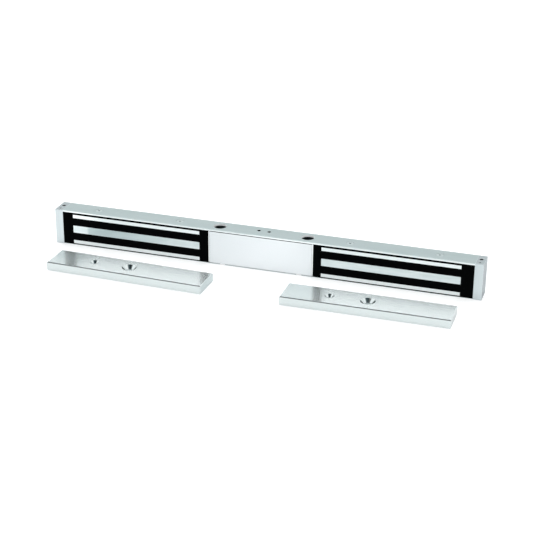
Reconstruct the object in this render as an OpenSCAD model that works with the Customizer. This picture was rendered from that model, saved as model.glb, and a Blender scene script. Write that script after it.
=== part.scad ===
// Double-door electromagnetic lock with two loose armature plates.
// X runs along the lock, the pole faces look towards -Y, and +Z is up.
// The origin is the centre of the lock body's underside.

/* [Lock body] */
// Overall length, end block to end block
body_len = 500; // [480:1:520]
// Height of the body
body_h = 42; // [41:0.5:44]
// Depth from the pole faces to the back
body_d = 25; // [24.5:0.5:28]
// Thickness of the channel's top wall, the mounting face
top_wall = 2.4; // [2:0.1:2.6]
// Thickness left at the top wall's front edge
top_lip = 1.9; // [1.7:0.1:2.1]
// Thickness of the channel's back wall
back_wall = 2.2; // [2:0.1:2.4]
// Thickness of the channel's bottom flange
bottom_wall = 2.2; // [2:0.1:2.2]
// Thickness left at the bottom flange's front edge
bottom_lip = 1; // [0.8:0.1:1.4]
// Width of each solid end block
end_block_w = 9.5; // [9:0.1:12]

/* [Magnets] */
// Distance of each magnet's centre from the middle of the lock
magnet_x = 150; // [149:0.5:151]
// Length of each laminated core
core_len = 155.5; // [140:0.5:156]
// How far the right core sits off the middle of its screws, towards the wiring
right_core_shift = 1.5; // [0:0.1:1.5]
// Height of the core across its three legs
core_h = 35.4; // [34:0.2:35.4]
// Height of the core's middle above the underside
core_z = 20; // [20:0.1:20.4]
// Height of the middle leg
middle_leg = 8.6; // [8:0.1:9]
// Height of each outer leg
outer_leg = 4; // [3.6:0.1:4.2]
// Thickness of the yoke that joins the legs
yoke = 4.6; // [4:0.1:5]
// Step from the pole faces back to the epoxy
epoxy_recess = 0.15; // [0.05:0.05:0.3]

/* [Wiring compartment] */
// Width of the compartment between the two dividers
bay_w = 120; // [116:1:122]
// Thickness of the dividers
divider_t = 1.2; // [1:0.1:1.5]
// Thickness of the cover's front
cover_t = 2; // [1.5:0.1:2.2]
// Diameter of the two wire holes in the top
wire_hole_d = 14.8; // [10:0.1:15]
// Distance of each wire hole from the middle
wire_hole_x = 51.5; // [50:0.5:52]
// Length of the circuit board
board_len = 80; // [78:1:82]
// Height of the circuit board
board_h = 28; // [27:1:29]

/* [Armature plates] */
// Length of each armature plate
plate_len = 185; // [180:1:190]
// Width of each armature plate
plate_w = 37; // [36:0.5:38]
// Thickness of each armature plate
plate_t = 10.5; // [10:0.5:12]
// Diameter of the door bolt's hole in a plate
bolt_hole_d = 8.4; // [8:0.1:9]
// Diameter of the guide pin's hole in a plate
pin_hole_d = 5.2; // [4:0.1:6]

/* [Hidden] */
$fn = 48;
hair = 0.01;                                 // overlap that keeps cuts clean
front = -body_d / 2;
back = body_d / 2;
inner_back = back - back_wall;
inner_top = body_h - top_wall;
channel_len = body_len - 2 * end_block_w;
edge_r = 0.6;                                // rounding on the extrusion's long edges
hole_y = 1.5;                                // line of the bolt holes, just behind the middle

// Core, coil former and winding
window_h = (core_h - 2 * outer_leg - middle_leg) / 2;
window_back = inner_back - yoke;
former_wall = 0.9;
former_gap = 0.1;
former_flange = 1;
former_front = front + 1;
former_reach = core_len / 2 + 9;             // half length of the former's flanges
former_half_h = middle_leg / 2 + window_h - 0.2;
coil_reach = former_reach - 1;
coil_half_h = former_half_h - 0.6;
coil_corner = 6;

// End blocks
spigot_len = 12;
spigot_front = window_back + 0.3;
spigot_gap = 0.5;
end_hole_x = body_len / 2 - 5;
end_hole_d = 4.5;
end_bore_d = 7.5;
end_bore_depth = 6;
locator_y = -7.5;
locator_d = 2.5;
locator_depth = 5;
end_screw_x = body_len / 2 - 15.5;
end_screw_z = [11, 31];

// Screws: thread diameter, head diameter, length
core_screw = [4, 7.6, 7.3];
core_seat = 0.3;                             // how far a core screw's head is set into the top
core_screw_depth = core_screw[2] + core_seat;
end_screw = [3, 6, 6.4];
screw_gap = 0.2;                             // clearance round a screw's shank
head_rim = 0.3;                              // straight rim of a countersunk head
head_sink = 0.1;                             // how far a head lies below its surface
socket_share = 0.72;                         // width of a hexagonal socket, as a share of the thread
core_screw_dx = 50;
centre_hole_x = 6;
centre_hole_d = 4.2;

// Cover
gap = 0.3;                                   // gap round the parts that come off
cover_half = bay_w / 2 - gap;
cover_low = bottom_lip + gap;
cover_high = body_h - top_lip - 0.4;
cover_tab_high = inner_top - 0.4;
cover_back = front + cover_t;
cover_tab_t = 1.5;
cover_tab_d = 9;
cover_foot = [10, 8, 3];
cover_screw_x = 45;
cover_screw_y = cover_back + 4;
cover_screw = [3, 5.6, 1];                   // thread, head diameter, head height
slot_head_w = 6.4;
slot_head_h = 1.4;
slot_shank_w = 3.6;

// Circuit board and what is on it
board_t = 1.6;
board_front = 6.5;
board_z = 20;
board_back = board_front + board_t;
board_screw_x = board_len / 2 - 4;
board_screw_dz = board_h / 2 - 3;
board_screw = [2.5, 4.5, 1.6];               // thread, head diameter, head height
spacer_d = 5.2;
terminal_x = 25;
terminal_z = 27;
terminal = [10.16, 10, 8];
terminal_pitch = 5.08;
terminal_well_d = 3.8;
terminal_well = 4;
terminal_screw_h = 2.2;
wire_mouth = [3.6, 3.4];
wire_mouth_back = 5;
header_x = 10;
header_z = 13;
pin_pitch = 2.54;
pin_w = 0.64;
pin_len = 6;
header_base = [7.62, 2.5, 2.5];
jumper = [5, 6.6, 2.5];
jumper_gap = 0.3;
varistor_x = 26;
varistor_z = 13.5;
varistor_d = 7.5;
varistor_t = 3.6;
varistor_lift = 2;
varistor_leg_x = 1.8;
varistor_leg_d = 0.7;
lead_d = 1.6;
lead_bend = 3;
lead_y = 2.5;
tunnel_len = 8;                              // longer than the epoxy and divider that a lead passes
lead_pad_x = board_len / 2 - 3;
red_lead_z = 16;
black_lead_z = 12.5;

// Armature plates as they lie in front of the lock: [x, y, turn about Z]
left_plate_place = [-132.5, -74, -2];
right_plate_place = [139.5, -74, 0.3];
plate_chamfer = 1;
bolt_sink_d = 16.6;
pin_sink_d = 10.6;
pin_hole_x = -42;

aluminium = "#BECACA";
bright_aluminium = "#D3DDDD";
epoxy_black = "#0B0C0E";
steel = "#C9D1D2";

// ---- shapes used more than once ----

// A profile drawn in Y and Z, carried along X and centred on x = 0.
module along_x(len) {
    translate([-len / 2, 0, 0]) rotate([90, 0, 90]) linear_extrude(len) children();
}

// A profile drawn in X and Z, carried from y = from to y = to.
module along_y(from, to) {
    translate([0, to, 0]) rotate([90, 0, 0]) linear_extrude(to - from) children();
}

// A box from its middle in X, its low Y and low Z.
module block(size) {
    translate([-size[0] / 2, 0, 0]) cube(size);
}

// A rectangle with four rounded corners, centred.
module round_rect(w, h, r) {
    square([w - 2 * r, h], center = true);
    square([w, h - 2 * r], center = true);
    for (x = [-1, 1], y = [-1, 1])
        translate([x * (w / 2 - r), y * (h / 2 - r)]) circle(r);
}

// A countersunk screw pointing down, its head's top at z = 0, with a hexagonal socket.
module sunk_screw(thread, head, len) {
    cone = (head - thread) / 2;
    difference() {
        union() {
            translate([0, 0, -head_rim]) cylinder(d = head, h = head_rim - head_sink);
            translate([0, 0, -head_rim - cone]) cylinder(d1 = thread, d2 = head, h = cone);
            translate([0, 0, -len]) cylinder(d = thread, h = len - head_rim);
        }
        translate([0, 0, -cone]) cylinder(d = thread * socket_share, h = cone + 1, $fn = 6);
    }
}

// The hole that a countersunk screw needs in a wall that lies below z = 0.
module sunk_hole(thread, head, wall) {
    d = thread + 2 * screw_gap;
    mouth = head + 2 * screw_gap;
    cone = (mouth - d) / 2;
    translate([0, 0, -wall - 1]) cylinder(d = d, h = wall + 2);
    translate([0, 0, -head_rim - cone]) cylinder(d1 = d, d2 = mouth, h = cone);
    translate([0, 0, -head_rim]) cylinder(d = mouth, h = 1);
}

// A round-headed screw pointing down, the underside of its head at z = 0, with a cross recess.
module round_screw(thread, head, head_h, len) {
    difference() {
        union() {
            cylinder(d = head, h = head_h);
            translate([0, 0, -len]) cylinder(d = thread, h = len + hair);
        }
        for (turn = [0, 90])
            rotate([0, 0, turn]) translate([0, 0, head_h])
                cube([head * 0.6, head * 0.16, head_h], center = true);
    }
}

// ---- lock body ----

module channel_profile() {
    inner_d = body_d - back_wall;
    difference() {
        translate([0, body_h / 2]) round_rect(body_d, body_h, edge_r);
        translate([front - 1, bottom_wall]) square([inner_d + 1, inner_top - bottom_wall]);
        translate([front - 1, bottom_lip]) square([cover_t + 1, body_h - top_lip - bottom_lip]);
    }
}

// Middle of a core and its winding; side is -1 on the left and 1 on the right.
function core_x(side) = side * magnet_x - (side > 0 ? right_core_shift : 0);

module core_screw_places(side) {
    for (dx = [-core_screw_dx, core_screw_dx])
        translate([side * magnet_x + dx, 0, body_h]) children();
}

module end_screw_places(side) {
    for (z = end_screw_z)
        translate([side * end_screw_x, back, z]) rotate([-90, 0, 0]) children();
}

// Slot in the bottom flange, open to the front, that a cover screw slides out through.
module cover_screw_slot() {
    for (cut = [[slot_head_w, -1, slot_head_h], [slot_shank_w, 0, bottom_wall + 1]]) {
        translate([-cut[0] / 2, front - 1, cut[1]])
            cube([cut[0], cover_screw_y - front + 1, cut[2] - cut[1]]);
        translate([0, cover_screw_y, cut[1]]) cylinder(d = cut[0], h = cut[2] - cut[1]);
    }
}

module housing() color(aluminium) difference() {
    along_x(channel_len) channel_profile();
    for (side = [-1, 1]) {
        core_screw_places(side) sunk_hole(core_screw[0], core_screw[1] + 2 * core_seat, top_wall);
        end_screw_places(side) sunk_hole(end_screw[0], end_screw[1], back_wall);
        translate([side * wire_hole_x, 0, inner_top - 1]) cylinder(d = wire_hole_d, h = top_wall + 2);
        translate([side * centre_hole_x, hole_y, inner_top - 1])
            cylinder(d = centre_hole_d, h = top_wall + 2);
        translate([side * cover_screw_x, 0, 0]) cover_screw_slot();
    }
}

// The tongue of an end block that reaches into the channel, along its back wall.
module spigot(side) {
    translate([side * (channel_len - spigot_len) / 2, spigot_front, bottom_wall + spigot_gap])
        block([spigot_len + hair, inner_back - spigot_front, inner_top - bottom_wall - 2 * spigot_gap]);
}

module end_block(side) color(bright_aluminium) difference() {
    union() {
        translate([side * (body_len - end_block_w) / 2, 0, 0])
            along_x(end_block_w) translate([0, body_h / 2]) round_rect(body_d, body_h, edge_r);
        spigot(side);
    }
    translate([side * end_hole_x, hole_y, -1]) cylinder(d = end_hole_d, h = body_h + 2);
    translate([side * end_hole_x, hole_y, -1]) cylinder(d = end_bore_d, h = end_bore_depth + 1);
    translate([side * end_hole_x, locator_y, body_h - locator_depth])
        cylinder(d = locator_d, h = locator_depth + 1);
    end_screw_places(side) translate([0, 0, -end_screw[2]])
        cylinder(d = end_screw[0], h = end_screw[2]);
}

module end_block_screws() color(steel)
    for (side = [-1, 1]) end_screw_places(side) sunk_screw(end_screw[0], end_screw[1], end_screw[2]);

module bay_divider(side) color(bright_aluminium) difference() {
    translate([side * (bay_w + divider_t) / 2, front, bottom_wall])
        block([divider_t, inner_back - front, inner_top - bottom_wall]);
    translate([side * bay_w / 2, 0, 0]) lead_tunnels(tunnel_len);
}

// Round tunnels along X that the two leads of a coil pass through.
module lead_tunnels(len) {
    for (z = [red_lead_z, black_lead_z])
        translate([-len / 2, lead_y, z]) rotate([0, 90, 0]) cylinder(d = lead_d, h = len);
}

// ---- magnets ----

module core_profile() {
    difference() {
        translate([front, -core_h / 2]) square([inner_back - front, core_h]);
        for (s = [-1, 1])
            translate([front - 1, s * (middle_leg + window_h) / 2 - window_h / 2])
                square([window_back - front + 1, window_h]);
    }
}

module core(side) color(steel) difference() {
    translate([core_x(side), 0, core_z]) along_x(core_len) core_profile();
    core_screw_places(side) translate([0, 0, -core_screw_depth])
        cylinder(d = core_screw[0], h = core_screw_depth);
}

// A flat ring round the middle leg, from y0 to y1.
module former_ring(reach, half_h, y0, y1) {
    along_y(y0, y1) difference() {
        round_rect(2 * reach, 2 * half_h, former_flange);
        square([core_len + 2 * former_gap, middle_leg + 2 * former_gap], center = true);
    }
}

module former_shape() {
    tube_reach = core_len / 2 + former_gap + former_wall;
    tube_half = middle_leg / 2 + former_gap + former_wall;
    former_ring(former_reach, former_half_h, former_front, former_front + former_flange);
    former_ring(tube_reach, tube_half, former_front, window_back);
    former_ring(former_reach, former_half_h, window_back - former_flange, window_back);
}

module coil_shape() {
    along_y(former_front + former_flange, window_back - former_flange) difference() {
        round_rect(2 * coil_reach, 2 * coil_half_h, coil_corner);
        round_rect(core_len + 2 * (former_gap + former_wall),
                   middle_leg + 2 * (former_gap + former_wall), former_flange);
    }
}

module coil_former(side) color("#E6DFC8")
    translate([core_x(side), 0, core_z]) former_shape();

module coil(side) color("#B4592C")
    translate([core_x(side), 0, core_z]) coil_shape();

module epoxy(side) color(epoxy_black) difference() {
    bay_len = (channel_len - bay_w) / 2 - divider_t;
    bay_mid = side * (channel_len / 2 - bay_len / 2);
    union() {
        translate([bay_mid, front + epoxy_recess, bottom_wall])
            block([bay_len, inner_back - front - epoxy_recess, inner_top - bottom_wall]);
        translate([bay_mid, front + epoxy_recess, bottom_lip])
            block([bay_len, cover_t - epoxy_recess, body_h - top_lip - bottom_lip]);
    }
    translate([core_x(side), 0, core_z]) {
        along_x(core_len) core_profile();
        former_shape();
        coil_shape();
    }
    spigot(side);
    core_screw_places(side) translate([0, 0, -core_screw_depth])
        cylinder(d = core_screw[0], h = core_screw_depth);
    translate([core_x(side) - side * coil_reach, 0, 0]) lead_tunnels(tunnel_len);
}

module core_screws(side) color(steel)
    core_screw_places(side) translate([0, 0, -core_seat])
        sunk_screw(core_screw[0], core_screw[1], core_screw[2]);

// ---- circuit board ----

// Places its children on the board's four screws, with the board's outward side towards +Z.
module board_screw_places() {
    for (sx = [-1, 1], sz = [-1, 1])
        translate([sx * board_screw_x, board_front, board_z + sz * board_screw_dz])
            rotate([90, 0, 0]) children();
}

module board_spacers() color("#C8A75A") board_screw_places()
    translate([0, 0, board_front - inner_back]) difference() {
        cylinder(d = spacer_d, h = inner_back - board_back, $fn = 6);
        translate([0, 0, -1]) cylinder(d = board_screw[0], h = inner_back);
    }

module circuit_board() color("#1E6B3A") difference() {
    translate([0, board_front, board_z - board_h / 2]) block([board_len, board_t, board_h]);
    board_screw_places() translate([0, 0, -board_t - 1])
        cylinder(d = board_screw[0] + 2 * screw_gap, h = board_t + 2);
}

module board_screws() color(steel) board_screw_places()
    round_screw(board_screw[0], board_screw[1], board_screw[2], inner_back - board_front);

module terminal_screw_places(side) {
    for (s = [-1, 1])
        translate([side * terminal_x + s * terminal_pitch / 2, board_front - terminal[1], terminal_z])
            rotate([90, 0, 0]) children();
}

module terminal_block(side) color("#2F8F57") difference() {
    translate([side * terminal_x, board_front - terminal[1], terminal_z - terminal[2] / 2])
        block(terminal);
    terminal_screw_places(side) translate([0, 0, -terminal_well])
        cylinder(d = terminal_well_d, h = terminal_well + 1);
    for (s = [-1, 1])
        translate([side * terminal_x + s * terminal_pitch / 2, board_front - wire_mouth_back, terminal_z])
            block([wire_mouth[0], wire_mouth[1], terminal[2]]);
}

module terminal_screws() color(steel) for (side = [-1, 1])
    terminal_screw_places(side) translate([0, 0, -terminal_well]) difference() {
        cylinder(d = terminal_well_d - 2 * screw_gap, h = terminal_screw_h);
        translate([0, 0, terminal_screw_h]) cube([terminal_well_d, 0.6, 2], center = true);
    }

module jumper_headers() color("#17181A") for (side = [-1, 1]) difference() {
    translate([side * header_x, board_front - header_base[1], header_z - header_base[2] / 2])
        block(header_base);
    pin_places(side) translate([0, board_front, 0]) cube([pin_w, 20, pin_w], center = true);
}

module pin_places(side) {
    for (i = [-1, 0, 1]) translate([side * header_x + i * pin_pitch, 0, header_z]) children();
}

module jumper_pins() color("#D9B44A") for (side = [-1, 1])
    pin_places(side) translate([0, board_front - (header_base[1] + pin_len) / 2, 0])
        cube([pin_w, header_base[1] + pin_len, pin_w], center = true);

module voltage_jumper(side) color("#C4252B") difference() {
    translate([side * (header_x - pin_pitch / 2), board_front - header_base[1] - jumper_gap - jumper[1],
               header_z - jumper[2] / 2]) block(jumper);
    pin_places(side) translate([0, board_front - header_base[1], 0])
        cube([pin_w + 2 * jumper_gap, 2 * (pin_len + jumper_gap), pin_w + 2 * jumper_gap], center = true);
}

module varistor(side) color("#2F63B8") translate([side * varistor_x, 0, varistor_z]) {
    translate([0, board_front - varistor_lift, 0]) rotate([90, 0, 0])
        cylinder(d = varistor_d, h = varistor_t);
    for (s = [-1, 1])
        translate([s * varistor_leg_x, board_front, 0]) rotate([90, 0, 0])
            cylinder(d = varistor_leg_d, h = varistor_lift + hair);
}

// One insulated wire: out of the coil's end, along X, round a bend and on to its pad on the board.
module coil_lead(side, z) translate([0, 0, z]) {
    run = abs(core_x(side)) - coil_reach - lead_pad_x - lead_bend;
    translate([side * (lead_pad_x + lead_bend + run / 2), lead_y, 0]) rotate([0, 90, 0])
        cylinder(d = lead_d, h = run, center = true);
    translate([side * (lead_pad_x + lead_bend), lead_y + lead_bend, 0])
        rotate([0, 0, side > 0 ? 180 : 270]) rotate_extrude(angle = 90)
            translate([lead_bend, 0]) circle(d = lead_d);
    translate([side * lead_pad_x, lead_y + lead_bend, 0]) rotate([-90, 0, 0])
        cylinder(d = lead_d, h = board_front - lead_y - lead_bend);
}

module red_lead(side) color("#B3202A") coil_lead(side, red_lead_z);

module black_lead(side) color("#1B1C1E") coil_lead(side, black_lead_z);

// ---- cover ----

module cover() color("#E9EDEE") difference() {
    union() {
        intersection() {
            along_y(front, cover_back) translate([0, (cover_low + cover_high) / 2])
                square([2 * cover_half, cover_high - cover_low], center = true);
            along_x(2 * cover_half) translate([front + 1.5 * cover_t, (cover_low + cover_high) / 2])
                round_rect(3 * cover_t, cover_high - cover_low, edge_r);
        }
        for (side = [-1, 1]) {
            translate([side * (cover_half - cover_tab_t / 2), cover_back - hair, bottom_wall + gap])
                block([cover_tab_t, cover_tab_d, cover_tab_high - bottom_wall - gap]);
            translate([side * cover_screw_x, cover_back - hair, bottom_wall + gap]) block(cover_foot);
        }
    }
    for (side = [-1, 1])
        translate([side * cover_screw_x, cover_screw_y, 0]) cylinder(d = cover_screw[0], h = body_h / 2);
}

module cover_screws() color(steel) for (side = [-1, 1])
    translate([side * cover_screw_x, cover_screw_y, cover_screw[2] + 0.1]) rotate([180, 0, 0])
        round_screw(cover_screw[0], cover_screw[1], cover_screw[2], 4);

// ---- armature plates ----

module chamfered(w, h) {
    c = plate_chamfer;
    polygon([[-w / 2 + c, 0], [w / 2 - c, 0], [w / 2, c], [w / 2, h - c],
             [w / 2 - c, h], [-w / 2 + c, h], [-w / 2, h - c], [-w / 2, c]]);
}

// A through hole with a 90 degree countersink that is sink wide at the plate's upper face.
module sunk_through(d, sink) {
    depth = (sink - d) / 2;
    translate([0, 0, -1]) cylinder(d = d, h = plate_t + 2);
    translate([0, 0, plate_t - depth]) cylinder(d1 = d, d2 = sink + 2, h = depth + 1);
}

module armature_plate(place) color(steel)
    translate([place[0], place[1], 0]) rotate([0, 0, place[2]]) difference() {
        intersection() {
            along_x(plate_len) chamfered(plate_w, plate_t);
            along_y(-plate_w / 2, plate_w / 2) chamfered(plate_len, plate_t);
        }
        sunk_through(bolt_hole_d, bolt_sink_d);
        translate([pin_hole_x, 0, 0]) sunk_through(pin_hole_d, pin_sink_d);
    }

housing();
end_block(-1);  // end_block_left
end_block(1);  // end_block_right
end_block_screws();
bay_divider(-1);  // bay_divider_left
bay_divider(1);  // bay_divider_right
core(-1);  // core_left
core(1);  // core_right
coil_former(-1);  // coil_former_left
coil_former(1);  // coil_former_right
coil(-1);  // coil_left
coil(1);  // coil_right
epoxy(-1);  // epoxy_left
epoxy(1);  // epoxy_right
core_screws(-1);  // core_screws_left
core_screws(1);  // core_screws_right
board_spacers();
circuit_board();
board_screws();
terminal_block(-1);  // terminal_left
terminal_block(1);  // terminal_right
terminal_screws();
jumper_headers();
jumper_pins();
voltage_jumper(-1);  // voltage_jumper_left
voltage_jumper(1);  // voltage_jumper_right
varistor(-1);  // varistor_left
varistor(1);  // varistor_right
red_lead(-1);  // red_lead_left
black_lead(-1);  // black_lead_left
red_lead(1);  // red_lead_right
black_lead(1);  // black_lead_right
cover();
cover_screws();
armature_plate(left_plate_place);  // armature_plate_left
armature_plate(right_plate_place);  // armature_plate_right
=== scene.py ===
# %% [markdown]
# # A magnetic lock for double doors
#
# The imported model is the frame: every metal and plastic part comes from it, already in place. This lesson
# adds what drawing in solids does not give: the surface of the cast epoxy, the solder on the board, and a
# finish for every part that shows how it was made.

# %% Load the frame
import math
import bpy
import numpy as np
from mathutils import Matrix, Vector


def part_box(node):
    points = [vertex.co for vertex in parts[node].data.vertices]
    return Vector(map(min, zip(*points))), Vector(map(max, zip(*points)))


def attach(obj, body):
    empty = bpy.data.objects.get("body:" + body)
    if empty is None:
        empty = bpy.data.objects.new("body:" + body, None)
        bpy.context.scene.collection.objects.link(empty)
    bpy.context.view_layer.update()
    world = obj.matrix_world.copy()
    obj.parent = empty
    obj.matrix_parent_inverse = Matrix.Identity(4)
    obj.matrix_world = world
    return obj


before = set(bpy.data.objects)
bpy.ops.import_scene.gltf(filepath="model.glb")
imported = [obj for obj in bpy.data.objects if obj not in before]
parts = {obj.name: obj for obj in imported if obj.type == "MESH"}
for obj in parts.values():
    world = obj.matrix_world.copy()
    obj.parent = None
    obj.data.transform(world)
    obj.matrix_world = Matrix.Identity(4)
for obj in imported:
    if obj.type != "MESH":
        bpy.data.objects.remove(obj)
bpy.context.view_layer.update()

print("parts in the frame:", len(parts))

# %% [markdown]
# Lengths in the frame are metres. The real drawings are in millimetres, so one factor carries them over.
# Colours are written as sRGB hex values, as a paint chart gives them, and one function makes them linear.

# %% Units and colours
MM = 0.001


def linear(hex_colour):
    """sRGB hex to linear RGBA: below 0.04045 divide by 12.92, above it ((c + 0.055) / 1.055) ** 2.4."""
    code = hex_colour.lstrip("#")
    channels = [int(code[i:i + 2], 16) / 255 for i in (0, 2, 4)]
    return tuple(c / 12.92 if c <= 0.04045 else ((c + 0.055) / 1.055) ** 2.4 for c in channels) + (1.0,)


def box_mm(*names):
    """Lowest and highest corners, in millimetres, of the box round these parts."""
    corners = np.array([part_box(name) for name in names]) / MM
    return corners[:, 0].min(0), corners[:, 1].max(0)


body_low, body_high = box_mm("housing", "end_block_left", "end_block_right")
print("lock body, mm:", (body_high - body_low).round(2))

# %% [markdown]
# ## Camera
#
# The camera looks down on the lock from the front and a little from the right, from about 1.6 metres away.
# It is placed on a sphere round a point at the foot of the lock: a turn, a tilt and a distance say where it
# stands, and a small roll turns it about its own line of sight.

# %% Camera
camera_target = Vector((3.65, 0, 0)) * MM
camera_turn = math.radians(17.53)
camera_tilt = math.radians(23.83)
camera_roll = math.radians(0.51)
camera_distance = 1613 * MM
camera_lens = 96.43
camera_sensor = 36.0
camera_sight = 100.0

to_camera = Vector((
    math.sin(camera_turn) * math.cos(camera_tilt),
    -math.cos(camera_turn) * math.cos(camera_tilt),
    math.sin(camera_tilt),
))
level_right = (-to_camera).cross(Vector((0, 0, 1))).normalized()
level_up = level_right.cross(-to_camera)
camera_right = level_right * math.cos(camera_roll) + level_up * math.sin(camera_roll)
camera_up = level_up * math.cos(camera_roll) - level_right * math.sin(camera_roll)
camera_matrix = Matrix((camera_right, camera_up, to_camera)).transposed().to_4x4()
camera_matrix.translation = camera_target + to_camera * camera_distance

camera_data = bpy.data.cameras.new("camera")
camera_data.sensor_width = camera_sensor
camera_data.lens = camera_lens
camera_data.clip_end = camera_sight
camera = bpy.data.objects.new("camera", camera_data)
camera.matrix_world = camera_matrix
scene = bpy.context.scene
scene.collection.objects.link(camera)
scene.camera = camera
scene.view_settings.view_transform = "Standard"
print("camera stands at, mm:", (camera_matrix.translation / MM)[:])

# %% [markdown]
# ## Nodes
#
# A material is a small graph of nodes. One function adds a node, sets its properties and fills its inputs,
# either with a value or with a link from another node's output. Everything below is built with it. Four
# short ones give the result of what is needed again and again: arithmetic on numbers, arithmetic on
# vectors, a ramp, and one coordinate of a place.

# %% Adding a node


def add(tree, kind, inputs=None, **settings):
    """Adds one node. settings are the node's own properties; inputs go from a socket to a value or a link."""
    node = tree.nodes.new(kind)
    for name, value in settings.items():
        setattr(node, name, value)
    for socket, value in (inputs or {}).items():
        if isinstance(value, bpy.types.NodeSocket):
            tree.links.new(value, node.inputs[socket])
        else:
            node.inputs[socket].default_value = value
    return node


def maths(tree, operation, *values):
    """The result of one Math node on links or numbers."""
    return add(tree, "ShaderNodeMath", dict(enumerate(values)), operation=operation).outputs[0]


def vector_maths(tree, operation, *values):
    """The result of one Vector Math node: a number for a length or a dot product, else a vector."""
    node = add(tree, "ShaderNodeVectorMath", dict(enumerate(values)), operation=operation)
    return node.outputs["Value" if operation in ("DOT_PRODUCT", "LENGTH") else "Vector"]


def ramp(tree, value, start, stop, low=0.0, high=1.0, shape="LINEAR"):
    """low where the value is at start, high where it is at stop, a slope between and level outside."""
    return add(tree, "ShaderNodeMapRange", {
        "Value": value, "From Min": start, "From Max": stop, "To Min": low, "To Max": high,
    }, interpolation_type=shape).outputs[0]


def coordinate(tree, place, axis):
    """The X, Y or Z of a place or a direction."""
    return add(tree, "ShaderNodeSeparateXYZ", {0: place}).outputs[axis]


# %% [markdown]
# ## Light and floor
#
# Metal shows only what it mirrors, so the lock stands in a white tent: soft light from every side, a little
# less from the back, and a white sheet underneath. A soft lamp above and behind puts a gleam on the faces
# that look up, and a dark opening above and in front draws a darker line along each top edge.

# %% White tent
tent_white = 1.18
tent_back = 1.04
tent_opening = 0.03
tent_lamp = 3.8
back_direction = Vector((-0.50, 0.87, 0)).normalized()
back_outer = 0.2
back_inner = 0.88
lamp_direction = Vector((-0.22, 0.44, 0.865)).normalized()
lamp_outer = math.cos(math.radians(25))
lamp_inner = math.cos(math.radians(8))
opening_direction = Vector((-0.285, -0.41, 0.865)).normalized()
opening_outer = math.cos(math.radians(21))
opening_inner = math.cos(math.radians(13))

world = bpy.data.worlds.new("white_tent")
world.use_nodes = True
scene.world = world
tent = world.node_tree
tent.nodes.clear()
ray = add(tent, "ShaderNodeTexCoord").outputs["Generated"]
towards_opening = vector_maths(tent, "DOT_PRODUCT", ray, opening_direction)
opening = ramp(tent, towards_opening, opening_outer, opening_inner, 1.0, tent_opening, "SMOOTHSTEP")
towards_back = vector_maths(tent, "DOT_PRODUCT", ray, back_direction)
wall = ramp(tent, towards_back, back_outer, back_inner, tent_white, tent_back, "SMOOTHSTEP")
towards_lamp = vector_maths(tent, "DOT_PRODUCT", ray, lamp_direction)
lamp = ramp(tent, towards_lamp, lamp_outer, lamp_inner, 0.0, tent_lamp, "SMOOTHSTEP")
strength = maths(tent, "MULTIPLY_ADD", wall, opening, lamp)
tent_light = add(tent, "ShaderNodeBackground", {"Color": linear("#fbfeff"), "Strength": strength})
add(tent, "ShaderNodeOutputWorld", {"Surface": tent_light.outputs[0]})
print("tent strength: walls", tent_white, "back", tent_back, "lamp", tent_lamp, "opening", tent_opening)

# %% [markdown]
# The floor is a plain white sheet. It glows a little, as a sheet lit from below does, and the tent's light
# brings it up from there to the paper white that hides all but the closest shadow.

# %% Floor sheet
floor_half = 40.0
floor_drop = 0.02 * MM
flat_points = 3
paper_clouds_per_metre = 9.0
paper_glow = 0.47


def sheet_grid(columns, rows):
    """Quads of a grid with columns x rows points, row by row, each turned the same way round."""
    first = np.arange((rows - 1) * columns).reshape(rows - 1, columns)[:, :-1].ravel()
    return np.stack([first, first + 1, first + columns + 1, first + columns], axis=1)


def make_piece(name, points, faces):
    """A mesh object at the origin from points in metres (n x 3) and quads (m x 4)."""
    mesh = bpy.data.meshes.new(name)
    mesh.from_pydata(points.tolist(), [], faces.tolist())
    mesh.validate()
    mesh.update()
    piece = bpy.data.objects.new(name, mesh)
    scene.collection.objects.link(piece)
    return piece


floor_line = np.linspace(-floor_half, floor_half, flat_points)
floor_x, floor_y = np.meshgrid(floor_line, floor_line)
floor_points = np.stack([floor_x, floor_y, np.full_like(floor_x, -floor_drop)], axis=-1).reshape(-1, 3)
floor = make_piece("floor_sheet", floor_points, sheet_grid(flat_points, flat_points))

paper = bpy.data.materials.new("white_paper")
paper.use_nodes = True
paper_tree = paper.node_tree
paper_tree.nodes.clear()
paper_place = add(paper_tree, "ShaderNodeTexCoord").outputs["Object"]
paper_tone = add(paper_tree, "ShaderNodeTexNoise", {
    "Vector": paper_place, "Scale": paper_clouds_per_metre, "Detail": 2.0,
})
paper_colour = add(paper_tree, "ShaderNodeMix", {
    0: paper_tone.outputs["Fac"], 6: linear("#dadada"), 7: linear("#dfdfdf"),
}, data_type="RGBA")
paper_shader = add(paper_tree, "ShaderNodeBsdfPrincipled", {
    "Base Color": paper_colour.outputs[2], "Roughness": 0.9, "Specular IOR Level": 0.1,
    "Emission Color": linear("#ffffff"), "Emission Strength": paper_glow,
})
add(paper_tree, "ShaderNodeOutputMaterial", {"Surface": paper_shader.outputs[0]})
floor.data.materials.append(paper)
print("floor sheet, m:", 2 * floor_half)

# %% [markdown]
# A polished plate with nothing dark to mirror looks like paper. So narrow black cloths, called flags, hang
# where the metal mirrors them: four over the black ends of the two magnets, so that the dark bars that the
# armature plates mirror run right across them. Only mirror rays see the flags: they throw no shadow, the
# camera looks through them, and only their front is black, so that the top and the back of the lock do not
# mirror them.

# %% Black flags
flag_top = 500.0
flag_clear = 0.6
cloth_naps_per_metre = 900.0

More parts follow.
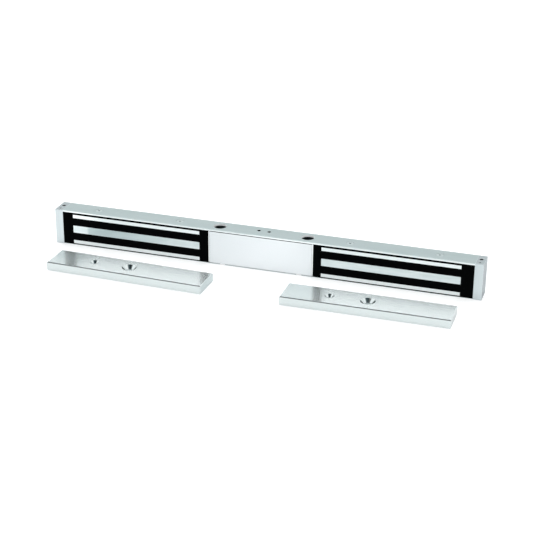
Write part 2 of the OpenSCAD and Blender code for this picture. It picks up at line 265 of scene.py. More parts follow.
flag_cloth = bpy.data.materials.new("black_flag_cloth")
flag_cloth.use_nodes = True
cloth_tree = flag_cloth.node_tree
cloth_tree.nodes.clear()
cloth_place = add(cloth_tree, "ShaderNodeTexCoord").outputs["Object"]
cloth_nap = add(cloth_tree, "ShaderNodeTexNoise", {"Vector": cloth_place, "Scale": cloth_naps_per_metre})
cloth_colour = add(cloth_tree, "ShaderNodeMix", {
    0: cloth_nap.outputs["Fac"], 6: linear("#020202"), 7: linear("#0a0a0a"),
}, data_type="RGBA")
cloth_shader = add(cloth_tree, "ShaderNodeBsdfPrincipled", {
    "Base Color": cloth_colour.outputs[2], "Roughness": 1.0, "Specular IOR Level": 0.0,
})
cloth_clear = add(cloth_tree, "ShaderNodeBsdfTransparent")
cloth_back = add(cloth_tree, "ShaderNodeNewGeometry").outputs["Backfacing"]
cloth_sided = add(cloth_tree, "ShaderNodeMixShader", {
    0: cloth_back, 1: cloth_shader.outputs[0], 2: cloth_clear.outputs[0],
})
add(cloth_tree, "ShaderNodeOutputMaterial", {"Surface": cloth_sided.outputs[0]})

for side in ("left", "right"):
    epoxy_low, epoxy_high = box_mm("epoxy_" + side)
    steel_low, steel_high = box_mm("core_" + side)
    for end, x_low, x_high in (("a", epoxy_low[0], steel_low[0]), ("b", steel_high[0], epoxy_high[0])):
        line_x = np.linspace(x_low, x_high, flat_points)
        line_z = np.linspace(body_high[2] + flag_clear, flag_top, flat_points)
        flag_x, flag_z = np.meshgrid(line_x, line_z)
        flag_points = np.stack([flag_x, np.full_like(flag_x, epoxy_low[1]), flag_z], axis=-1) * MM
        flag_faces = sheet_grid(flat_points, flat_points)
        flag = make_piece(f"flag_{side}_{end}", flag_points.reshape(-1, 3), flag_faces)
        flag.data.materials.append(flag_cloth)
        flag.visible_camera = False
        flag.visible_diffuse = False
        flag.visible_shadow = False
        print(flag.name, "from x", x_low.round(1), "to", x_high.round(1), "mm")

# %% [markdown]
# ## Starting a finish
#
# Every finish starts the same way: a shader, the place on the part in millimetres, and the part's own edges.
# The place comes from Object coordinates, which are the same for all parts because each sits at the origin.
# The edges come from the Bevel node: it looks a fraction of a millimetre round each point and tells how
# much the surface turns there. That gives a soft, worn corner without touching the part's mesh. Which way a
# face looks is asked of the part itself, so a finish stays with the part when the part is turned.

# %% A finish begins
finishes = {}
edge_samples = 4
edge_agreement = 0.90
wave_period = 0.314


def begin_finish(name, edge_mm):
    """A new material: its tree, its place in mm, a rounded normal, and how near an edge is (0 to 1)."""
    material = bpy.data.materials.new(name)
    material.use_nodes = True
    material.node_tree.nodes.clear()
    tree = material.node_tree
    finishes[name] = material
    object_place = add(tree, "ShaderNodeTexCoord").outputs["Object"]
    place = add(tree, "ShaderNodeVectorMath", {0: object_place, "Scale": 1 / MM}, operation="SCALE")
    rounded = add(tree, "ShaderNodeBevel", {"Radius": edge_mm * MM}, samples=edge_samples).outputs[0]
    flat = add(tree, "ShaderNodeNewGeometry").outputs["Normal"]
    agreement = vector_maths(tree, "DOT_PRODUCT", rounded, flat)
    edge = ramp(tree, agreement, 1.0, edge_agreement, shape="SMOOTHSTEP")
    return tree, place.outputs[0], rounded, edge


def turned_towards(tree, direction, least=0.80, most=0.95):
    """1 where the part's own surface faces along a direction, 0 where not: their dot product, stretched."""
    facing = add(tree, "ShaderNodeTexCoord").outputs["Normal"]
    return ramp(tree, vector_maths(tree, "DOT_PRODUCT", facing, direction), least, most)


def turned_along(tree, direction, least=0.80, most=0.95):
    """The same for faces that look either along a direction or straight against it."""
    with_it = turned_towards(tree, direction, least, most)
    against_it = turned_towards(tree, [-part for part in direction], least, most)
    return maths(tree, "ADD", with_it, against_it)


def product(tree, *factors):
    """The product of several factors, each a link or a number."""
    result = factors[0]
    for factor in factors[1:]:
        result = maths(tree, "MULTIPLY", result, factor)
    return result


def stretched_noise(tree, place, size_mm, detail=2.0, seed=0.0):
    """Noise whose grains are size_mm long along X, Y and Z; seed moves it so that no two patterns match."""
    noise = add(tree, "ShaderNodeTexNoise", {
        "Vector": vector_maths(tree, "MULTIPLY", place, [1 / size for size in size_mm]),
        "W": seed, "Scale": 1.0, "Detail": detail,
    }, noise_dimensions="4D")
    return noise.outputs["Fac"]


def waves(tree, place, pitch_mm, distortion, detail, **settings):
    """Ridges pitch_mm apart. At scale 1 a Wave texture repeats every 2 pi / 20, which is wave_period."""
    return add(tree, "ShaderNodeTexWave", {
        "Vector": place, "Scale": wave_period / pitch_mm, "Distortion": distortion, "Detail": detail,
    }, **settings).outputs["Fac"]


def blended(tree, factor, below, above):
    """A colour from below to above by a factor from 0 to 1. Either is a link or a hex colour."""
    colours = [linear(c) if isinstance(c, str) else c for c in (below, above)]
    return add(tree, "ShaderNodeMix", {0: factor, 6: colours[0], 7: colours[1]}, data_type="RGBA").outputs[2]


def between(tree, factor, low, high):
    """A colour between two hex colours, or a number between two numbers, by a factor from 0 to 1."""
    if isinstance(low, str):
        return blended(tree, factor, low, high)
    return ramp(tree, factor, 0.0, 1.0, low, high)


def end_finish(tree, colour, roughness, height, depth_mm, normal, **constants):
    """Closes a finish: a bump of depth_mm over the normal, and the shader with its constant values."""
    bump = add(tree, "ShaderNodeBump", {"Height": height, "Distance": depth_mm * MM, "Normal": normal})
    inputs = {"Base Color": colour, "Roughness": roughness, "Normal": bump.outputs[0]}
    inputs.update({name.replace("_", " "): value for name, value in constants.items()})
    shader = add(tree, "ShaderNodeBsdfPrincipled", inputs)
    add(tree, "ShaderNodeOutputMaterial", {"Surface": shader.outputs[0]})


def dress(finish, *names):
    """Puts a finish on parts of the frame, through their material slots."""
    for name in names:
        slots = parts[name].material_slots
        if not slots:
            parts[name].data.materials.append(None)
        for each in parts[name].material_slots:
            each.material = finishes[finish]
    print(finish, "on", ", ".join(names))


# %% [markdown]
# ## Anodised aluminium: the housing
#
# The housing is a length of extruded channel. The die leaves fine lines along it, the caustic etch before
# anodising turns them to a satin grain, and the clear oxide gives a cool grey. Die lines are drawn as noise
# stretched 150 times along X, the etch as small even noise, and handling as large soft clouds. Die lines are
# really about 0.1 mm apart; they are drawn 0.6 mm apart so that they show.
#
# The front edges are milled flush with the pole faces after the filling has set, and the wire holes are
# drilled after anodising, so both are bare, brighter metal; the drilled walls are also rougher, and scatter
# light more than they mirror it. The narrow bolt holes are painted near black, painted shade for their deep
# shafts, and the inside of the channel is painted dark grey, painted shade for the hollow.

# %% Anodised aluminium
inner_top = 39.65
inner_bottom = 2.1
wire_hole_x = 51.5
hole_reach = 10.0
edge_margin = 1.0
bare_change = -0.85
drilled_rough = 0.35

tree, place, normal, edge = begin_finish("anodised_aluminium", 0.2)
die_lines = stretched_noise(tree, place, (90, 0.6, 0.6), 3.0, 1.0)
etch = stretched_noise(tree, place, (0.5, 0.5, 0.5), 2.0, 2.0)
clouds = stretched_noise(tree, place, (70, 22, 22), 2.0, 3.0)
satin = between(tree, die_lines, "#a2acac", "#b0baba")
handling = between(tree, clouds, "#eaf0f0", "#ffffff")
satin = add(tree, "ShaderNodeMix", {
    0: 1.0, 6: satin, 7: handling,
}, data_type="RGBA", blend_type="MULTIPLY").outputs[2]

level = coordinate(tree, place, "Z")
off_middle = maths(tree, "ABSOLUTE", coordinate(tree, place, "X"))
off_centre_line = maths(tree, "ABSOLUTE", coordinate(tree, place, "Y"))
off_edges = maths(tree, "LESS_THAN", off_centre_line, -body_low[1] - edge_margin)
in_top_wall = maths(tree, "GREATER_THAN", level, inner_top)
upright = maths(tree, "SUBTRACT", 1.0, turned_towards(tree, (0, 0, 1), 0.3, 0.8))
hole_wall = product(tree, in_top_wall, off_edges, upright)
from_wire_hole = maths(tree, "ABSOLUTE", maths(tree, "SUBTRACT", off_middle, wire_hole_x))
wire_hole = product(tree, hole_wall, maths(tree, "LESS_THAN", from_wire_hole, hole_reach))
bolt_hole_painted_shade = product(tree, hole_wall, maths(tree, "LESS_THAN", off_middle, hole_reach))
below_top = maths(tree, "LESS_THAN", level, inner_top)
above_bottom = maths(tree, "GREATER_THAN", level, inner_bottom)
inside_painted_shade = product(tree, below_top, above_bottom, off_edges)

colour = blended(tree, turned_towards(tree, (0, -1, 0)), satin, "#e4e9e9")
colour = blended(tree, wire_hole, colour, "#f4f6f6")
# painted shade: the narrow bolt holes near black
colour = blended(tree, bolt_hole_painted_shade, colour, "#1d2224")
# painted shade: the inside of the channel dark grey
colour = blended(tree, inside_painted_shade, colour, "#596164")
colour = blended(tree, edge, colour, "#dfe6e6")
roughness = maths(tree, "MULTIPLY_ADD", wire_hole, drilled_rough, between(tree, etch, 0.28, 0.38))
metal = maths(tree, "MULTIPLY_ADD", wire_hole, bare_change, 1.0)
height = maths(tree, "ADD", die_lines, etch)
end_finish(tree, colour, roughness, height, 0.008, normal, Metallic=metal)
dress("anodised_aluminium", "housing")

# %% [markdown]
# ## Milled aluminium: the end blocks and dividers
#
# The end blocks are cut from bar and milled. A face mill leaves arcs as wide as the cutter on the cut ends,
# and the cut ends are painted darker than the flat sides: painted shade. The arcs are a Wave texture in rings
# about a centre below the part, mixed in where the surface faces along X. The sides that face the front are
# finished finer and brighter, and the thin front edges of the dividers are painted near white: a painted
# highlight.

# %% Milled aluminium
mill_arc_pitch = 0.9
mill_centre = (0, 0, -30)
divider_region = 100.0

tree, place, normal, edge = begin_finish("milled_aluminium", 0.5)
cut_end = turned_along(tree, (1, 0, 0), 0.6, 0.9)
front_side = turned_towards(tree, (0, -1, 0))
off_middle = maths(tree, "ABSOLUTE", coordinate(tree, place, "X"))
divider_edge_painted_highlight = product(tree, front_side, maths(tree, "LESS_THAN", off_middle, divider_region))
arc_place = vector_maths(tree, "SUBTRACT", place, mill_centre)
arcs = waves(tree, arc_place, mill_arc_pitch, 1.2, 2.0, wave_type="RINGS", rings_direction="X")
feed = stretched_noise(tree, place, (0.8, 0.8, 30), 2.0, 4.0)
clouds = stretched_noise(tree, place, (9, 9, 20), 2.0, 5.0)
front_colour = between(tree, feed, "#b9c2c4", "#c7cfd1")
colour = blended(tree, front_side, between(tree, feed, "#979fa1", "#a4adaf"), front_colour)
# painted highlight: the dividers' thin front edges near white
colour = blended(tree, divider_edge_painted_highlight, colour, "#f6f8f8")
# painted shade: the cut ends darker than the sides; the arcs in them are real tool marks
colour = blended(tree, cut_end, colour, between(tree, arcs, "#515d63", "#7a868b"))
colour = blended(tree, edge, colour, "#e6eaea")
roughness = between(tree, clouds, 0.28, 0.38)
height = add(tree, "ShaderNodeMix", {0: cut_end, 2: feed, 3: arcs}, data_type="FLOAT").outputs[0]
end_finish(tree, colour, roughness, height, 0.010, normal, Metallic=1.0)
dress("milled_aluminium", "end_block_left", "end_block_right", "bay_divider_left", "bay_divider_right")

# %% [markdown]
# ## Silver enamel: the cover
#
# The cover is aluminium sheet with a sprayed silver-white coat. Paint levels to a skin like orange peel with
# dimples about 1.5 mm across and almost no depth, and the flakes in it make the tone waver a little. Its
# edges are rounded and a touch brighter where the coat thins. The top edge of the sheet, which faces the
# housing across the gap, is painted near black: painted shade for the dark gap.

# %% Silver enamel
tree, place, normal, edge = begin_finish("cover_enamel", 0.4)
peel = stretched_noise(tree, place, (1.5, 1.5, 1.5), 1.0, 6.0)
flake = stretched_noise(tree, place, (0.35, 0.35, 0.35), 1.0, 7.0)
clouds = stretched_noise(tree, place, (30, 30, 14), 2.0, 8.0)
coat = between(tree, flake, "#d9dddf", "#e4e7e9")
coat = blended(tree, between(tree, clouds, 0.0, 0.5), coat, "#dce1e3")
colour = blended(tree, edge, coat, "#f4f6f6")
top_edge_painted_shade = turned_towards(tree, (0, 0, 1), 0.1, 0.4)
# painted shade: the top edge, which faces the dark gap, near black
colour = blended(tree, top_edge_painted_shade, colour, "#23282b")
roughness = between(tree, flake, 0.38, 0.48)
end_finish(tree, colour, roughness, peel, 0.012, normal, Metallic=0.35)
dress("cover_enamel", "cover")

# %% [markdown]
# ## Laminated steel: the cores
#
# A core is a stack of half-millimetre E-shaped sheets, so its front shows thin lines across the pole faces,
# and the three pole faces have been ground flat together and plated. The sheet lines are a Wave texture of
# bands along X at the real 0.5 mm. Sheets differ slightly, so broader uneven bands lie over them. How bright
# each smooth pole face mirrors its surroundings is painted into its colour, as painted reflection: the upper
# poles a shade darker, the lower ones a little more, the middle poles darker in patches, and the left
# magnet's middle pole darker over most of its length.

# %% Laminated steel
sheet_mm = 0.5
outer_leg = 4.0
middle_leg_low, middle_leg_high = 15.7, 24.3
middle_leg_off, middle_leg_on = 6.5, 4.0
lower_leg_off, lower_leg_on = 10.0, 8.0
upper_leg_off, upper_leg_on = 30.0, 32.0
painted_dim_from, painted_dim_to = -211.0, -80.0
painted_dim_edge = 3
painted_dim_whole = 30
painted_dim_strength = 0.75

tree, place, normal, edge = begin_finish("lamination_steel", 0.25)
sheets = waves(tree, place, sheet_mm, 0.3, 1.0, wave_type="BANDS", bands_direction="X")
sheet_groups = stretched_noise(tree, place, (2.2, 400, 400), 3.0, 9.0)
grinding = stretched_noise(tree, place, (60, 0.4, 0.4), 2.0, 10.0)
pole_patches_painted_reflection = stretched_noise(tree, place, (40, 12, 6), 3.0, 11.0)

run = coordinate(tree, place, "X")
level = coordinate(tree, place, "Z")
leg_middle = (middle_leg_low + middle_leg_high) / 2
off_middle_leg = maths(tree, "ABSOLUTE", maths(tree, "SUBTRACT", level, leg_middle))
middle_leg = ramp(tree, off_middle_leg, middle_leg_off, middle_leg_on)
lower_leg = ramp(tree, level, lower_leg_off, lower_leg_on)
upper_leg = ramp(tree, level, upper_leg_off, upper_leg_on)
painted_dim_start = ramp(tree, run, painted_dim_from, painted_dim_from + painted_dim_edge)
painted_dim_fade = ramp(tree, run, painted_dim_from + painted_dim_whole, painted_dim_to, 1.0, 0.0)

steel = between(tree, sheet_groups, "#eaeeee", "#f6f8f8")
steel = blended(tree, between(tree, sheets, 0.0, 0.3), steel, "#dde3e4")
# painted reflection: darker patches on the middle poles
steel = blended(tree, product(tree, pole_patches_painted_reflection, middle_leg), steel, "#b4c4c5")
# painted reflection: the lower poles darker here, the upper poles a shade darker next
steel = blended(tree, lower_leg, steel, "#dce2e2")
steel = blended(tree, upper_leg, steel, "#e6ebeb")
# painted reflection: the left magnet's middle pole darker over most of its length
steel = blended(tree, product(tree, painted_dim_start, painted_dim_fade, middle_leg, painted_dim_strength), steel, "#a9b9ba")
colour = blended(tree, edge, steel, "#eef1f1")
roughness = between(tree, grinding, 0.28, 0.40)
height = maths(tree, "ADD", grinding, sheets)
end_finish(tree, colour, roughness, height, 0.004, normal, Metallic=1.0)
dress("lamination_steel", "core_left", "core_right")

# %% [markdown]
# ## Ground and plated steel: the armature plates
#
# A surface grinder leaves thousands of fine parallel scratches along the plate, and bright plating keeps
# them. Light spreads across the scratches but hardly along them, so what the plate mirrors is smeared one
# way and stays sharp the other. The shader's anisotropy does that, with a tangent that lies across the
# scratches on every face: the cross product of the face's normal and the plate's length. Real scratches are
# some 0.05 mm apart; those drawn in the colour and bump are 0.5 mm apart so that they show.
#
# Only the broad faces are ground. The long sides are as milled, a little duller, and the ends are sawn. The
# right plate's far end and the left ends of the broad faces are painted darker: painted reflection. Chamfers
# and countersinks are turned or planed smooth, so the scratches' bump fades out on them. Round each
# countersink four darker rays are painted, the fourth harmonic of the angle round the hole: painted
# reflection.

# %% Ground and plated steel
plate_hole_run = 42.0
dark_ray_reach = 9.5
dark_ray_turn = math.radians(18)
dark_ray_count = 4.0
dark_ray_softness = 0.8
flat_from = 0.95
plate_slack = 1.0
painted_end_dim_whole, painted_end_dim_stop = 30.0, 50.0
painted_end_dim_strength = 0.6
far_end_x = 200.0
smooth_rough = 0.10


# painted reflection: four dark rays round each countersink
def painted_dark_rays(tree, place, hole):
    """0 to 1: cos(4 * (angle - turn)) round a hole's axis, and 0 further than dark_ray_reach from it."""
    from_hole = vector_maths(tree, "SUBTRACT", place, hole)
    angle = maths(tree, "ARCTAN2", coordinate(tree, from_hole, "Y"), coordinate(tree, from_hole, "X"))
    phase = maths(tree, "MULTIPLY_ADD", angle, dark_ray_count, -dark_ray_count * dark_ray_turn)
    rays = ramp(tree, maths(tree, "COSINE", phase), 0.0, dark_ray_softness)
    away = vector_maths(tree, "LENGTH", vector_maths(tree, "MULTIPLY", from_hole, (1, 1, 0)))
    return product(tree, rays, maths(tree, "LESS_THAN", away, dark_ray_reach))


tree, place, normal, edge = begin_finish("plated_steel", 0.15)
scratches = stretched_noise(tree, place, (120, 0.5, 0.5), 4.0, 12.0)
clouds = stretched_noise(tree, place, (50, 20, 20), 2.0, 13.0)
run = coordinate(tree, place, "X")
painted_end_dimming = 0.0
dark_rays_painted_reflection = 0.0
for side in ("left", "right"):
    low, high = box_mm("armature_plate_" + side)
    from_start = maths(tree, "SUBTRACT", run, low[0])
    on_plate = maths(tree, "GREATER_THAN", from_start, -plate_slack)
    fade = ramp(tree, from_start, painted_end_dim_whole, painted_end_dim_stop, 1.0, 0.0)
    painted_end_dimming = maths(tree, "MULTIPLY_ADD", on_plate, fade, painted_end_dimming)
    for hole_run in (0.0, -plate_hole_run):
        hole = (low + high) / 2 + np.array([hole_run, 0, 0])
        dark_rays_painted_reflection = maths(tree, "MAXIMUM", painted_dark_rays(tree, place, hole), dark_rays_painted_reflection)

facing = add(tree, "ShaderNodeNewGeometry").outputs["Normal"]
flatness = maths(tree, "ABSOLUTE", coordinate(tree, facing, "Z"))
flat_face = maths(tree, "GREATER_THAN", flatness, flat_from)
round_way = vector_maths(tree, "CROSS_PRODUCT", (0, 0, 1), facing)
marks_way = add(tree, "ShaderNodeMix", {
    0: flat_face, 4: round_way, 5: (1.0, 0.0, 0.0),
}, data_type="VECTOR").outputs[1]
across = vector_maths(tree, "CROSS_PRODUCT", facing, marks_way)

long_sides = turned_along(tree, (0, 1, 0))
cut_end = turned_along(tree, (1, 0, 0))
far_end_painted_reflection = product(tree, cut_end, maths(tree, "GREATER_THAN", run, far_end_x))
over_half = turned_towards(tree, (0, 0, 1), 0.5, 0.6)
nearly_level = turned_towards(tree, (0, 0, 1), 0.8, 0.9)
steep = maths(tree, "SUBTRACT", over_half, nearly_level)

colour = between(tree, scratches, "#d6dcdc", "#dfe5e5")
colour = blended(tree, between(tree, clouds, 0.0, 0.4), colour, "#d9dfdf")
# painted reflection: the left ends of the broad faces darker
colour = blended(tree, product(tree, painted_end_dimming, painted_end_dim_strength), colour, "#bcc6c6")
colour = blended(tree, long_sides, colour, "#c6cdcd")
colour = blended(tree, cut_end, colour, "#a9b4b5")
# painted reflection: the right plate's far end darker still
colour = blended(tree, far_end_painted_reflection, colour, "#8c9798")
# painted reflection: the dark rays in the countersinks
colour = blended(tree, product(tree, steep, dark_rays_painted_reflection), colour, "#39474a")
ground_rough = between(tree, scratches, 0.12, 0.17)
roughness = add(tree, "ShaderNodeMix", {0: steep, 2: ground_rough, 3: smooth_rough}).outputs[0]
height = product(tree, scratches, maths(tree, "SUBTRACT", 1.0, steep))
end_finish(tree, colour, roughness, height, 0.055, normal, Metallic=0.78, Anisotropic=1.0, Tangent=across)
dress("plated_steel", "armature_plate_left", "armature_plate_right")

# %% [markdown]
# ## Turned metals: screws, pins and spacers
#
# Screws, brass spacers and gold-flashed pins are all turned or rolled from wire. One function gives them
# the same build with their own colours: a fine bump of tool marks, tone that wavers over a millimetre or
# so, and bright worn edges.

# %% Turned metals
rough_below, rough_above = 0.06, 0.08


def turned_metal(name, dark, bright, worn, rough, seed):
    """Colour from dark to bright over 1.2 mm grains, edges in the worn colour, marks 0.25 mm apart."""
    tree, place, normal, edge = begin_finish(name, 0.2)
    marks = stretched_noise(tree, place, (0.25, 0.25, 0.25), 2.0, seed)
    tone = stretched_noise(tree, place, (1.2, 1.2, 1.2), 2.0, seed + 0.5)
    colour = blended(tree, edge, between(tree, tone, dark, bright), worn)
    roughness = between(tree, marks, rough - rough_below, rough + rough_above)
    end_finish(tree, colour, roughness, marks, 0.004, normal, Metallic=1.0)


turned_metal("screw_steel", "#adb8b8", "#c1caca", "#b4bebe", 0.32, 20.0)
turned_metal("spacer_brass", "#b8974a", "#d6b666", "#ecd594", 0.28, 22.0)
turned_metal("gold_flash", "#c79d3a", "#e2bd55", "#f2d887", 0.20, 24.0)
dress("screw_steel", "end_block_screws", "core_screws_left", "core_screws_right", "board_screws",
      "terminal_screws", "cover_screws")
dress("spacer_brass", "board_spacers")
dress("gold_flash", "jumper_pins")

# %% [markdown]
# ## Cast epoxy: the filling round the cores
#
# Black epoxy is poured in and sets with a smooth skin. Dye and filler leave it a near-black that is never
# quite even, with slow ripples some 8 mm long and a fine orange peel. It swallows nearly all the light that
# falls on it, and its gloss is faint.

# %% Cast epoxy
tree, place, normal, edge = begin_finish("potting_epoxy", 0.2)
ripple = stretched_noise(tree, place, (8, 8, 8), 2.0, 30.0)
filler = stretched_noise(tree, place, (0.6, 0.6, 0.6), 2.0, 31.0)
streaks = stretched_noise(tree, place, (1.4, 20, 20), 2.0, 32.0)
colour = between(tree, streaks, "#010101", "#040506")
colour = blended(tree, edge, colour, "#0d0f13")
roughness = between(tree, filler, 0.22, 0.36)
height = maths(tree, "ADD", ripple, filler)
end_finish(tree, colour, roughness, height, 0.02, normal, Specular_IOR_Level=0.01, IOR=1.55)
dress("potting_epoxy", "epoxy_left", "epoxy_right")

# %% [markdown]
# ## Moulded and dipped plastics
#
# Nylon formers, terminal blocks, headers, jumpers and the epoxy dip of the varistors differ in colour and
# gloss, but their skins come the same way: from a spark-eroded mould or a dip, with a grain of a few tenths
# of a millimetre and slow changes of tone where the plastic flowed.

# %% Moulded plastics


def moulded_plastic(name, dark, bright, worn, rough, grain_mm, depth_mm, seed):
    """Colour from dark to bright over 4 mm flow marks, a spark-eroded grain, edges in the worn colour."""
    tree, place, normal, edge = begin_finish(name, 0.25)
    grain = stretched_noise(tree, place, (grain_mm,) * 3, 2.0, seed)
    flow = stretched_noise(tree, place, (4, 4, 4), 2.0, seed + 0.5)
    colour = blended(tree, between(tree, edge, 0.0, 0.6), between(tree, flow, dark, bright), worn)
    roughness = between(tree, grain, rough - rough_below, rough + rough_above)
    end_finish(tree, colour, roughness, grain, depth_mm, normal, IOR=1.5)


moulded_plastic("former_nylon", "#ddd6c2", "#ebe5d4", "#f4efe2", 0.50, 0.4, 0.010, 40.0)
moulded_plastic("terminal_plastic", "#257a4b", "#359460", "#6cba8d", 0.42, 0.3, 0.010, 42.0)
moulded_plastic("header_plastic", "#121315", "#1d1f22", "#3b3e42", 0.45, 0.3, 0.008, 44.0)
moulded_plastic("jumper_plastic", "#ae1c23", "#c92a30", "#e2686c", 0.35, 0.3, 0.006, 46.0)
moulded_plastic("varistor_coating", "#2a5ab0", "#376cc4", "#6f98dc", 0.30, 1.2, 0.030, 48.0)
dress("former_nylon", "coil_former_left", "coil_former_right")
dress("terminal_plastic", "terminal_left", "terminal_right")
dress("header_plastic", "jumper_headers")
dress("jumper_plastic", "voltage_jumper_left", "voltage_jumper_right")
dress("varistor_coating", "varistor_left", "varistor_right")

# %% [markdown]
# ## Extruded insulation: the leads
#
# PVC insulation is extruded round the wire, so its faint die lines run along it. Each lead runs mostly along
# X, and the noise is stretched that way. The gloss is soft, and the surface is a little uneven.

# %% Extruded insulation


def extruded_insulation(name, dark, bright, seed):
    """Colour from dark to bright along 12 mm streaks, with die lines 0.3 mm apart."""
    tree, place, normal, edge = begin_finish(name, 0.15)
    lines = stretched_noise(tree, place, (12, 0.3, 0.3), 2.0, seed)
    colour = blended(tree, between(tree, edge, 0.0, 0.3), between(tree, lines, dark, bright), bright)
    end_finish(tree, colour, between(tree, lines, 0.34, 0.48), lines, 0.008, normal, IOR=1.53)


extruded_insulation("red_insulation", "#a51b23", "#c4272f", 50.0)
extruded_insulation("black_insulation", "#151618", "#23252a", 52.0)
dress("red_insulation", "red_lead_left", "red_lead_right")
dress("black_insulation", "black_lead_left", "black_lead_right")

# %% [markdown]
# ## Enamelled copper: the windings
#
# A winding is hundreds of turns of enamelled wire laid side by side. Round the middle leg the turns run
# along X above and below it and along Z at its ends, so across them, along Y, each turn is a rounded ridge.
# Wire of 0.5 mm gives bands 0.5 mm apart along Y, and the grooves between the turns are painted darker:
# painted shade.

# %% Enamelled copper
wire_mm = 0.5

tree, place, normal, edge = begin_finish("enamelled_copper", 0.2)
turns = waves(tree, place, wire_mm, 0.4, 1.0, wave_type="BANDS", bands_direction="Y")
tone = stretched_noise(tree, place, (6, 0.5, 6), 2.0, 60.0)
colour = between(tree, tone, "#8e3f1c", "#c4683a")
# painted shade: the grooves between turns darkened
colour = blended(tree, between(tree, turns, 0.45, 0.0), colour, "#4a1e0e")
end_finish(tree, colour, between(tree, tone, 0.24, 0.36), turns, 0.15, normal,
           Metallic=0.85, Coat_Weight=0.5, Coat_Roughness=0.2)
dress("enamelled_copper", "coil_left", "coil_right")

# %% [markdown]
# ## Circuit board
#
# The board is glass-fibre laminate under a green solder mask. Copper tracks lie under the mask as raised,
# lighter lines; the glass cloth shows as a faint weave at the cut edge. The tracks are drawn by a Brick
# texture whose long thin bricks leave lines between them, as wide as real 1 mm tracks.

# %% Board laminate
track_mm = 1.0
track_row_mm = 4.2
track_run_mm = 13.0

tree, place, normal, edge = begin_finish("board_laminate", 0.2)
track_run = coordinate(tree, place, "X")
track_level = coordinate(tree, place, "Z")
track_place = add(tree, "ShaderNodeCombineXYZ", {0: track_run, 1: track_level}).outputs[0]
tracks = add(tree, "ShaderNodeTexBrick", {
    "Vector": track_place, "Scale": 1.0, "Mortar Size": track_mm / 2, "Mortar Smooth": 0.15,
    "Brick Width": track_run_mm, "Row Height": track_row_mm,
}, offset=0.37, offset_frequency=2).outputs["Fac"]
weave = stretched_noise(tree, place, (0.4, 0.4, 0.4), 1.0, 64.0)
mask = between(tree, weave, "#14592d", "#1b6b38")
colour = blended(tree, tracks, mask, "#2f8a4d")
colour = blended(tree, edge, colour, "#b9b27c")
height = maths(tree, "ADD", tracks, weave)
end_finish(tree, colour, between(tree, weave, 0.24, 0.34), height, 0.03, normal, IOR=1.5)
dress("board_laminate", "circuit_board")

# %% [markdown]
# ## The skin of the epoxy
#
# Liquid epoxy climbs every metal wall it touches and sets there as a small rounded rise, a meniscus. The
# solid in the frame ends in a plane, so each magnet gets a skin just in front of it. The skin is one grid
# over the bay: its height falls off exponentially with the distance to the nearest wall or pole face, and a
# slow wave stands for the pour. Over the pole faces the skin drops behind the steel. A second, flat grid
# behind and a rim round the edge close it.

# %% Epoxy skin
skin_rise = 0.085
skin_reach = 0.55
skin_lift = 0.02
skin_depth = 0.25
skin_wave = 0.008
wave_x, wave_z = 7.3, 6.1
wave_bend, wave_bend_z = 0.8, 9.1
wave_calm = 2.0
pole_hide = 0.06
skin_step_x = 1.2
skin_step_z = 0.45
crowd_offsets = np.array([-0.9, -0.45, -0.2, -0.08, -0.02, 0.02, 0.08, 0.2, 0.45, 0.9])


def closed_sheet(front, back):
    """Points and quads of a slab between two grids of the same size (rows x columns x 3), with its rim."""
    rows, columns = front.shape[:2]
    quads = sheet_grid(columns, rows)
    count = rows * columns
    index = np.arange(count).reshape(rows, columns)
    rim = np.concatenate([index[0, :-1], index[:-1, -1], index[-1, :0:-1], index[:0:-1, 0]])
    following = np.roll(rim, -1)
    walls = np.stack([rim, rim + count, following + count, following], axis=1)
    faces = np.concatenate([quads, quads[:, ::-1] + count, walls])
    return np.concatenate([front.reshape(-1, 3), back.reshape(-1, 3)]), faces


def graded_line(low, high, step, stops):
    """Even stations from low to high, with extra ones crowded on both sides of every stop."""
    even = np.arange(low, high, step)
    near = (np.array(stops)[:, None] + crowd_offsets).ravel()
    line = np.unique(np.round(np.concatenate([even, near, [low, high]]), 4))
    return line[(line >= low) & (line <= high)]


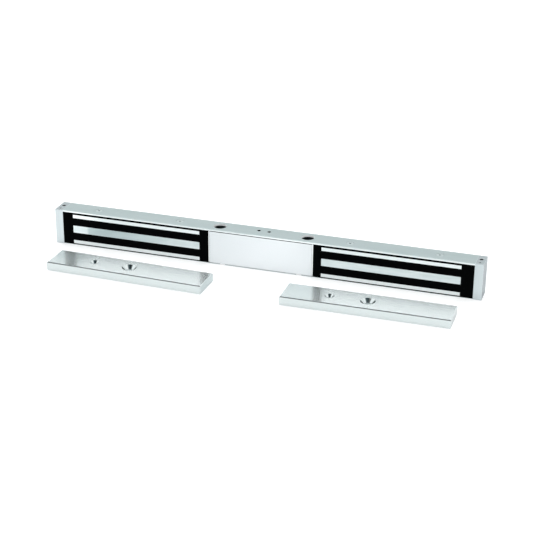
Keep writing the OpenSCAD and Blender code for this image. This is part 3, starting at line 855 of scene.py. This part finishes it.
def epoxy_skin(side):
    """y = face - lift - rise * exp(-distance to metal / reach) + wave, set back behind each pole face."""
    low, high = box_mm("epoxy_" + side)
    core_low, core_high = box_mm("core_" + side)
    face = low[1]
    lower_leg = (core_low[2], core_low[2] + outer_leg)
    upper_leg = (core_high[2] - outer_leg, core_high[2])
    legs = [lower_leg, (middle_leg_low, middle_leg_high), upper_leg]
    line_x = graded_line(low[0], high[0], skin_step_x, [core_low[0], core_high[0]])
    line_z = graded_line(low[2], high[2], skin_step_z, np.ravel(legs))
    x, z = np.meshgrid(line_x, line_z)
    nearest = np.minimum(np.minimum(x - low[0], high[0] - x), np.minimum(z - low[2], high[2] - z))
    past_end = np.maximum(np.maximum(core_low[0] - x, x - core_high[0]), 0)
    on_steel = np.zeros(x.shape, bool)
    for leg_low, leg_high in legs:
        past_leg = np.maximum(np.maximum(leg_low - z, z - leg_high), 0)
        gap = np.hypot(past_end, past_leg)
        on_steel |= gap == 0
        nearest = np.minimum(nearest, gap)
    wave = skin_wave * np.sin(x / wave_x + wave_bend * np.sin(z / wave_bend_z)) * np.cos(z / wave_z)
    calm = 1 - np.exp(-nearest / wave_calm)
    y = face - skin_lift - skin_rise * np.exp(-nearest / skin_reach) + wave * calm
    y = np.where(on_steel, face + pole_hide, y)
    front = np.stack([x, y, z], axis=-1) * MM
    back = np.stack([x, np.full_like(x, face + skin_depth), z], axis=-1) * MM
    points, faces = closed_sheet(front, back)
    piece = make_piece("epoxy_skin_" + side, points, faces)
    piece.data.materials.append(finishes["potting_epoxy"])
    piece.data.polygons.foreach_set("use_smooth", np.ones(len(faces), bool))
    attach(piece, "lock_body")
    print(piece.name, "points:", len(points), "front from", y.min().round(3), "to", y.max().round(3), "mm")


epoxy_skin("left")
epoxy_skin("right")

# %% [markdown]
# ## Solder joints
#
# Where a lead or a varistor's leg meets the board, molten solder climbs the wire and spreads on its pad, and
# freezes as a concave cone: steep at the wire and flat at the rim. Each joint is a closed ring, the turned
# shape of that curve, with its flat side in the board's face.

# %% Solder joints
solder_climb = 0.9
solder_spread = 0.75
solder_sink = 0.02
solder_overlap = 0.1
varistor_leg_x = 1.8
varistor_leg_r = 0.35
ring_points = 32
curve_points = 9


def solder_ring(x, z, wire_r, board_y):
    """A ring turned about Y: height = climb * (1 - t)^2, t = 0..1 from the wire's radius to the pad's."""
    t = np.linspace(0, 1, curve_points)
    inner = wire_r - solder_overlap
    radius = np.concatenate([[inner], wire_r + solder_spread * t, [wire_r + solder_spread, inner]])
    height = np.concatenate([[solder_climb], solder_climb * (1 - t) ** 2, [-solder_sink, -solder_sink]])
    turn = np.linspace(0, 2 * np.pi, ring_points, endpoint=False)[:, None]
    y = np.broadcast_to(board_y - height, (ring_points, len(radius)))
    points = np.stack([x + radius * np.cos(turn), y, z + radius * np.sin(turn)], axis=-1)
    index = np.arange(ring_points * len(radius)).reshape(ring_points, len(radius))
    around, along = np.roll(index, -1, axis=0), np.roll(index, -1, axis=1)
    both = np.roll(around, -1, axis=1)
    faces = np.stack([index, along, both, around], axis=-1).reshape(-1, 4)
    return points.reshape(-1, 3), faces


def signed_volume(points, faces):
    """Sum of a . (b x c) / 6 over the triangles of closed quads: above 0 if the faces look outward."""
    a, b, c, d = (points[faces[:, corner]] for corner in range(4))
    return ((np.cross(b, c) * a).sum() + (np.cross(c, d) * a).sum()) / 6


board_face = box_mm("circuit_board")[0][1]
joints = []
for lead in ("red_lead_left", "black_lead_left", "red_lead_right", "black_lead_right"):
    low, high = box_mm(lead)
    lead_r = (high[2] - low[2]) / 2
    pad_x = high[0] - lead_r if lead.endswith("left") else low[0] + lead_r
    joints.append((pad_x, (low[2] + high[2]) / 2, lead_r))
for varistor in ("varistor_left", "varistor_right"):
    low, high = box_mm(varistor)
    middle = (low + high) / 2
    for leg in (-varistor_leg_x, varistor_leg_x):
        joints.append((middle[0] + leg, middle[2], varistor_leg_r))

all_points, all_faces = [], []
for count, (x, z, wire_r) in enumerate(joints):
    ring, ring_faces = solder_ring(x, z, wire_r, board_face)
    all_points.append(ring * MM)
    all_faces.append(ring_faces + count * len(ring))
solder_points = np.concatenate(all_points)
solder_faces = np.concatenate(all_faces)
solder = make_piece("solder_joints", solder_points, solder_faces)
solder.data.polygons.foreach_set("use_smooth", np.ones(len(solder_faces), bool))
solder_volume = signed_volume(solder_points, solder_faces) / MM ** 3
print("solder joints:", len(joints), "signed volume, mm3:", round(solder_volume, 2))
turned_metal("solder_tin", "#c3c8c9", "#d6dadb", "#e6e9ea", 0.26, 26.0)
solder.data.materials.append(finishes["solder_tin"])
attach(solder, "lock_body")
